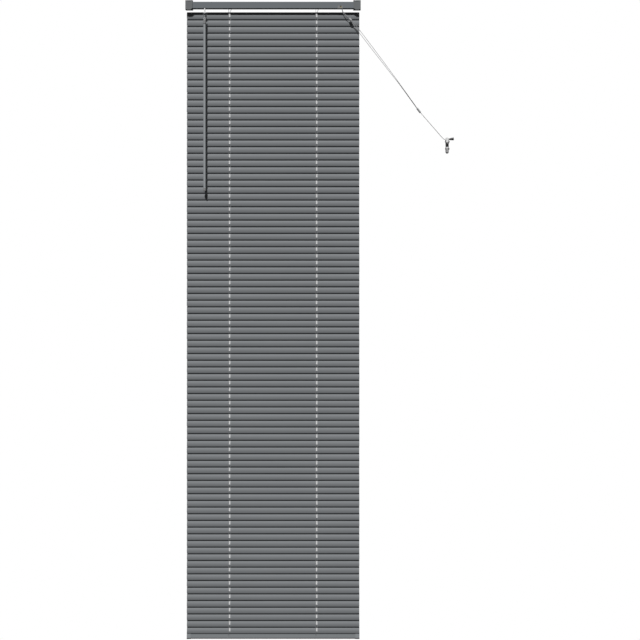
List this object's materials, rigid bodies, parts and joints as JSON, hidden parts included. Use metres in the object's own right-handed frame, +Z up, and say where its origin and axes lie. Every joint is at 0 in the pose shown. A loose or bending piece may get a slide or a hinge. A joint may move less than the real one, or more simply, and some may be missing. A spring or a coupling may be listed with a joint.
{
  "type": "venetian blind",
  "caption": "Aluminium venetian blind, 60 by 220 cm, closed: slats on ladder strings, head rail in box brackets, tilt wand, cord lock, pull cords to a wall cleat and bottom rail.",
  "frame": {"origin": "middle of the four wall screw holes, on the wall plane", "axes": "+X along the head rail, +Y into the wall, +Z up; the room is on -Y"},
  "size_m": [0.9246, 0.0342, 2.1997],
  "materials": {
    "slat_lacquer": "satin lacquer, silver grey",
    "rail_lacquer": "satin lacquer, darker grey",
    "bracket_lacquer": "satin lacquer, grey",
    "bare_steel": "bright zinc",
    "brass": "bright",
    "ladder_cord": "braided, light grey",
    "pull_cord": "braided, light grey",
    "grey_plastic": "moulded, matt",
    "white_plastic": "moulded, gloss",
    "wand_plastic": "moulded, gloss",
    "dark_plastic": "moulded, matt"
  },
  "bodies": {
    "blind": {"head_rail": "rail_lacquer", "slats": "slat_lacquer", "ladder_front_strings": "ladder_cord", "cord_lock_housing": "grey_plastic", "cord_lock_pin": "bare_steel", "pull_cord_front": "pull_cord", "pull_cord_back": "pull_cord", "cord_stop": "grey_plastic", "cord_connector": "grey_plastic", "pull_cord_tail": "pull_cord", "cleat_wrap": "pull_cord", "cord_cleat": "white_plastic", "cord_tassel": "dark_plastic", "bracket_left": "bracket_lacquer", "cover_hinge_pin_left": "bare_steel", "rail_end_plug_left": "grey_plastic", "tilter_case_left": "grey_plastic", "ladder_cradle_left": "grey_plastic", "cord_guide_pin_left": "bare_steel", "lift_cord_drop_left": "ladder_cord", "lift_cord_run_left": "ladder_cord", "bracket_right": "bracket_lacquer", "cover_hinge_pin_right": "bare_steel", "rail_end_plug_right": "grey_plastic", "tilter_case_right": "grey_plastic", "ladder_cradle_right": "grey_plastic", "cord_guide_pin_right": "bare_steel", "lift_cord_drop_right": "ladder_cord", "lift_cord_run_right": "ladder_cord"},
    "cover_left": {"bracket_cover_left": "bracket_lacquer"},
    "cover_right": {"bracket_cover_right": "bracket_lacquer"},
    "wand_link": {"wand_link": "bare_steel"},
    "wand": {"wand_sleeve": "grey_plastic", "wand_rod": "wand_plastic", "wand_tip": "grey_plastic"},
    "worm": {"worm_shaft": "white_plastic"},
    "tilt_drive": {"tilt_rod": "bare_steel", "worm_wheel": "white_plastic", "ladder_drum_left": "white_plastic", "ladder_drum_right": "white_plastic"},
    "bottom": {"bottom_rail": "rail_lacquer", "bottom_cap_left": "grey_plastic", "bottom_cap_right": "grey_plastic", "bottom_plug_left": "grey_plastic", "bottom_plug_right": "grey_plastic"},
    "lock_roller": {"cord_lock_roller": "brass"}
  },
  "joints": [
    {"name": "cover_left_hinge", "type": "hinge", "parent": "blind", "child": "cover_left", "pos_m": [-0.2891, -0.0283, 0.01375], "axis": [-1, 0, 0], "range_deg": [0, 95]},
    {"name": "cover_right_hinge", "type": "hinge", "parent": "blind", "child": "cover_right", "pos_m": [0.2891, -0.0283, 0.01375], "axis": [-1, 0, 0], "range_deg": [0, 95]},
    {"name": "wand_turn", "type": "hinge", "parent": "blind", "child": "wand_link", "pos_m": [-0.235, -0.02924, -0.02752], "axis": [0, 0, 1], "range_deg": [-1800, 0]},
    {"name": "wand_swing", "type": "hinge", "parent": "wand_link", "child": "wand", "pos_m": [-0.235, -0.02924, -0.04652], "axis": [-1, 0, 0], "range_deg": [0, 80]},
    {"name": "worm_turn", "type": "hinge", "parent": "blind", "child": "worm", "pos_m": [-0.235, -0.02321, 0.00085], "axis": [0, 0.2079, 0.9781], "range_deg": [-1800, 0]},
    {"name": "rod_turn", "type": "hinge", "parent": "blind", "child": "tilt_drive", "pos_m": [0, -0.0145, -0.001], "axis": [1, 0, 0], "range_deg": [-150, 0]},
    {"name": "lift", "type": "slide", "parent": "blind", "child": "bottom", "axis": [0, 0, 1], "range_m": [0, 1.96], "deforming": ["slats", "ladder_front_strings", "lift_cord_drop_left", "lift_cord_drop_right"]},
    {"name": "roller_slide", "type": "slide", "parent": "blind", "child": "lock_roller", "axis": [-0.5, 0, 0.866], "range_m": [0, 0.0026]}
  ],
  "couplings": [
    {"joint": "worm_turn", "follows": "wand_turn", "ratio": 1},
    {"joint": "rod_turn", "follows": "wand_turn", "ratio": 0.083333}
  ]
}
